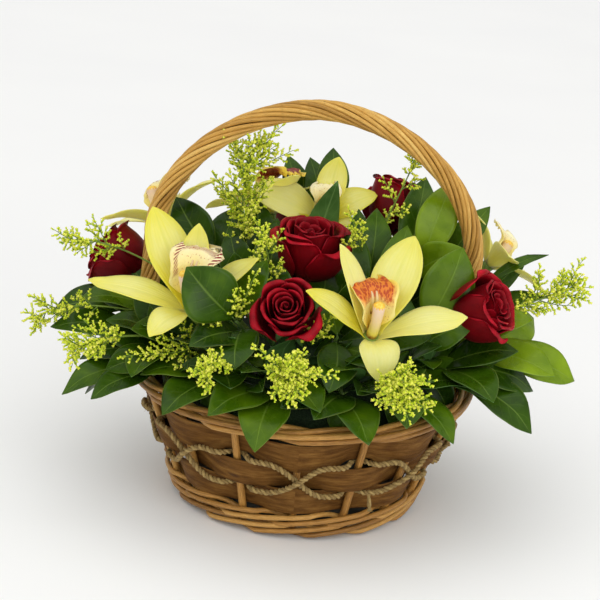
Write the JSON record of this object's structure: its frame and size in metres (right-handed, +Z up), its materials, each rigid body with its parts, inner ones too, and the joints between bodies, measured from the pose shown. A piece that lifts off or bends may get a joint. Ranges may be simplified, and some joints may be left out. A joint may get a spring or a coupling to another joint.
{
  "type": "flower basket arrangement",
  "caption": "Round woven basket with a tall twisted handle, filled with roses, cymbidium orchids, goldenrod sprays and broad green leaves.",
  "frame": {"origin": "middle of the basket's flat underside", "axes": "+Z up, -Y towards the front of the arrangement, the handle in the plane Y = 0 with its feet at -X and +X"},
  "size_m": [0.405, 0.3084, 0.298],
  "materials": {
    "willow": "varnished willow rods",
    "pale_willow": "varnished willow rods",
    "chipwood": "stained wood strip, matt",
    "board": "bare plywood",
    "rope": "twisted seagrass cord",
    "liner": "dark pot liner",
    "foam": "wet floral foam",
    "rose_petal": "velvety petals",
    "rose_green": "green stem, sepals and leaf",
    "orchid_tepal": "waxy petals",
    "orchid_lip": "waxy petals",
    "leaf": "glossy leaves",
    "goldenrod": "small soft buds"
  },
  "bodies": {
    "root": {"base_board": "board", "chip_band_lower": "chipwood", "chip_band_middle": "chipwood", "chip_band_upper": "chipwood", "floral_foam": "foam", "goldenrod_back": "goldenrod", "goldenrod_centre_left": "goldenrod", "goldenrod_far_left": "goldenrod", "goldenrod_front": "goldenrod", "goldenrod_front_left": "goldenrod", "goldenrod_front_right": "goldenrod", "goldenrod_left": "goldenrod", "goldenrod_low_left": "goldenrod", "goldenrod_right": "goldenrod", "goldenrod_upper_left": "goldenrod", "goldenrod_upper_right": "goldenrod", "handle": "pale_willow", "leaves_back_left": "leaf", "leaves_back_right": "leaf", "leaves_centre_left": "leaf", "leaves_centre_right": "leaf", "leaves_front": "leaf", "leaves_front_left": "leaf", "leaves_front_right": "leaf", "leaves_left": "leaf", "leaves_left_low": "leaf", "leaves_right": "leaf", "leaves_right_front": "leaf", "leaves_right_low": "leaf", "leaves_top": "leaf", "leaves_upper_left": "leaf", "leaves_upper_right": "leaf", "liner": "liner", "orchid_back_left_lip": "orchid_lip", "orchid_back_left_tepals": "orchid_tepal", "orchid_front_left_lip": "orchid_lip", "orchid_front_left_tepals": "orchid_tepal", "orchid_front_right_lip": "orchid_lip", "orchid_front_right_tepals": "orchid_tepal", "orchid_left_back_lip": "orchid_lip", "orchid_left_back_tepals": "orchid_tepal", "orchid_right_back_lip": "orchid_lip", "orchid_right_back_tepals": "orchid_tepal", "orchid_top_back_lip": "orchid_lip", "orchid_top_back_tepals": "orchid_tepal", "rope_one": "rope", "rope_two": "rope", "rose_back_petals": "rose_petal", "rose_back_right_petals": "rose_petal", "rose_back_right_stem": "rose_green", "rose_back_stem": "rose_green", "rose_front_petals": "rose_petal", "rose_front_stem": "rose_green", "rose_left_petals": "rose_petal", "rose_left_stem": "rose_green", "rose_right_petals": "rose_petal", "rose_right_stem": "rose_green", "rose_top_petals": "rose_petal", "rose_top_stem": "rose_green", "willow_frame": "willow"}
  },
  "joints": []
}
